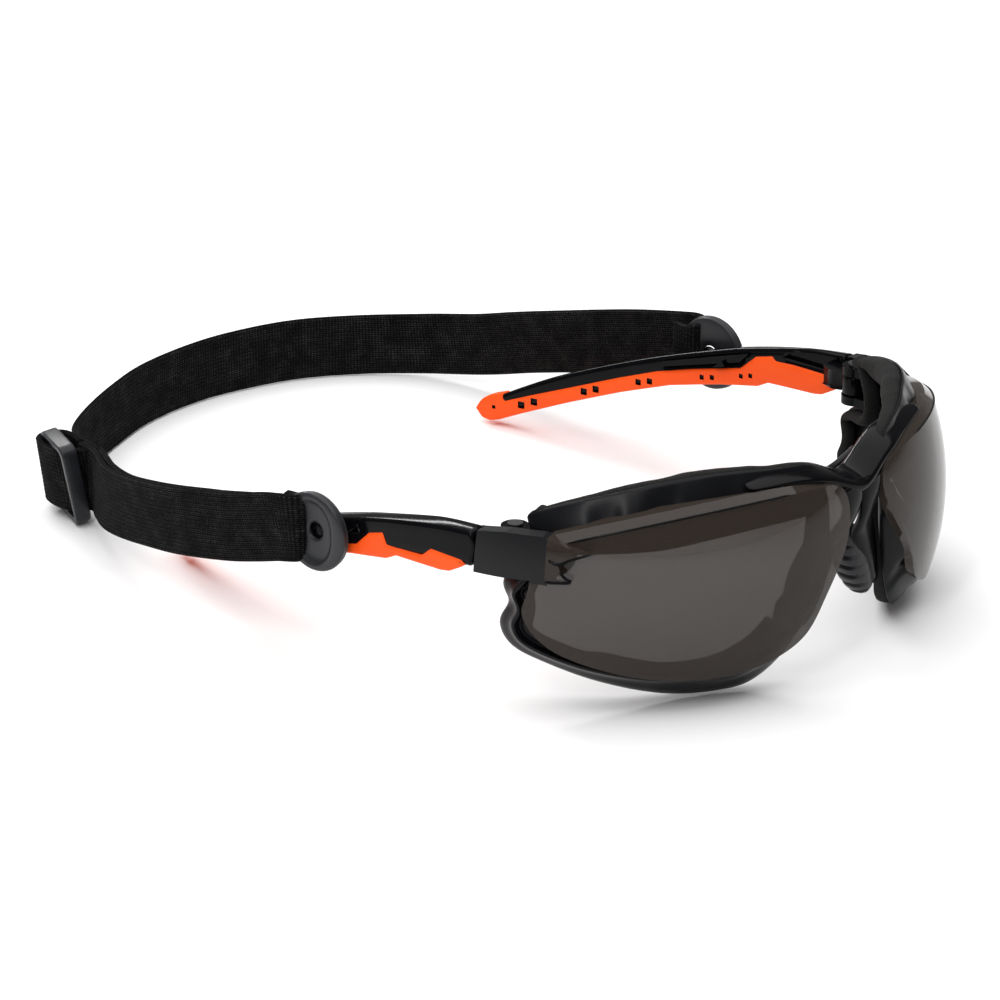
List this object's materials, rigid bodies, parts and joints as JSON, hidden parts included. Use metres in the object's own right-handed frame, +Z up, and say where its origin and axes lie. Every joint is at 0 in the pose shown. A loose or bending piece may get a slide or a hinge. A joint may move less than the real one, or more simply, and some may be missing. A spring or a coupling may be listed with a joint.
{
  "type": "safety glasses",
  "caption": "Wraparound safety glasses with tinted lenses, a foam-backed gasket, folding temples and an adjustable elastic head strap",
  "frame": {"origin": "bottom centre of the whole object as it rests on a table with the temples open", "axes": "+Y runs back from the lenses to the strap, +Z up, +X to the wearer's left"},
  "size_m": [0.149, 0.2218, 0.0503],
  "materials": {
    "smoke_lens": "polished smoke-tinted polycarbonate",
    "frame_black": "satin moulded nylon",
    "gasket_rubber": "soft matt elastomer",
    "foam": "fine closed-cell foam",
    "orange_grip": "matt soft-touch elastomer",
    "strap_webbing": "knitted elastic webbing",
    "buckle_plastic": "satin moulded acetal",
    "disc_rubber": "satin moulded plastic",
    "nose_pad_rubber": "soft matt elastomer",
    "hinge_steel": "turned steel"
  },
  "bodies": {
    "front": {"left_lens": "smoke_lens", "right_lens": "smoke_lens", "bridge": "frame_black", "left_nose_arm": "frame_black", "right_nose_arm": "frame_black", "left_nose_pad": "nose_pad_rubber", "right_nose_pad": "nose_pad_rubber", "left_gasket_frame": "gasket_rubber", "right_gasket_frame": "gasket_rubber", "gasket_bridge": "gasket_rubber", "left_gasket_foam": "foam", "right_gasket_foam": "foam", "left_endpiece": "frame_black", "right_endpiece": "frame_black", "left_hinge_pin": "hinge_steel", "right_hinge_pin": "hinge_steel", "left_strap_run": "strap_webbing", "strap_back": "strap_webbing", "right_strap_run": "strap_webbing", "strap_return_layer": "strap_webbing"},
    "left_temple": {"left_temple_arm": "frame_black", "left_temple_grip": "orange_grip", "left_strap_end": "strap_webbing"},
    "right_temple": {"right_temple_arm": "frame_black", "right_temple_grip": "orange_grip", "right_strap_end": "strap_webbing"},
    "left_disc": {"left_strap_disc": "disc_rubber", "left_disc_stud": "buckle_plastic", "left_strap_loop": "strap_webbing"},
    "right_disc": {"right_strap_disc": "disc_rubber", "right_disc_stud": "buckle_plastic", "right_strap_loop": "strap_webbing"},
    "buckle": {"strap_buckle": "buckle_plastic", "strap_tail": "strap_webbing"}
  },
  "joints": [
    {"name": "left_temple_fold", "type": "hinge", "parent": "front", "child": "left_temple", "pos_m": [0.0615, -0.0616, 0.0355], "axis": [0, 0, 1], "range_deg": [0, 70]},
    {"name": "right_temple_fold", "type": "hinge", "parent": "front", "child": "right_temple", "pos_m": [-0.0615, -0.0616, 0.0355], "axis": [0, 0, -1], "range_deg": [0, 85]},
    {"name": "left_disc_swivel", "type": "hinge", "parent": "left_temple", "child": "left_disc", "pos_m": [0.068, -0.0126, 0.0282], "axis": [1, 0, 0], "range_deg": [-6, 6]},
    {"name": "right_disc_swivel", "type": "hinge", "parent": "right_temple", "child": "right_disc", "pos_m": [-0.068, -0.0126, 0.0282], "axis": [-1, 0, 0], "range_deg": [-6, 6]},
    {"name": "buckle_slide", "type": "slide", "parent": "front", "child": "buckle", "axis": [0.4145, 0.8977, -0.1492], "range_m": [-0.002, 0.002]}
  ]
}
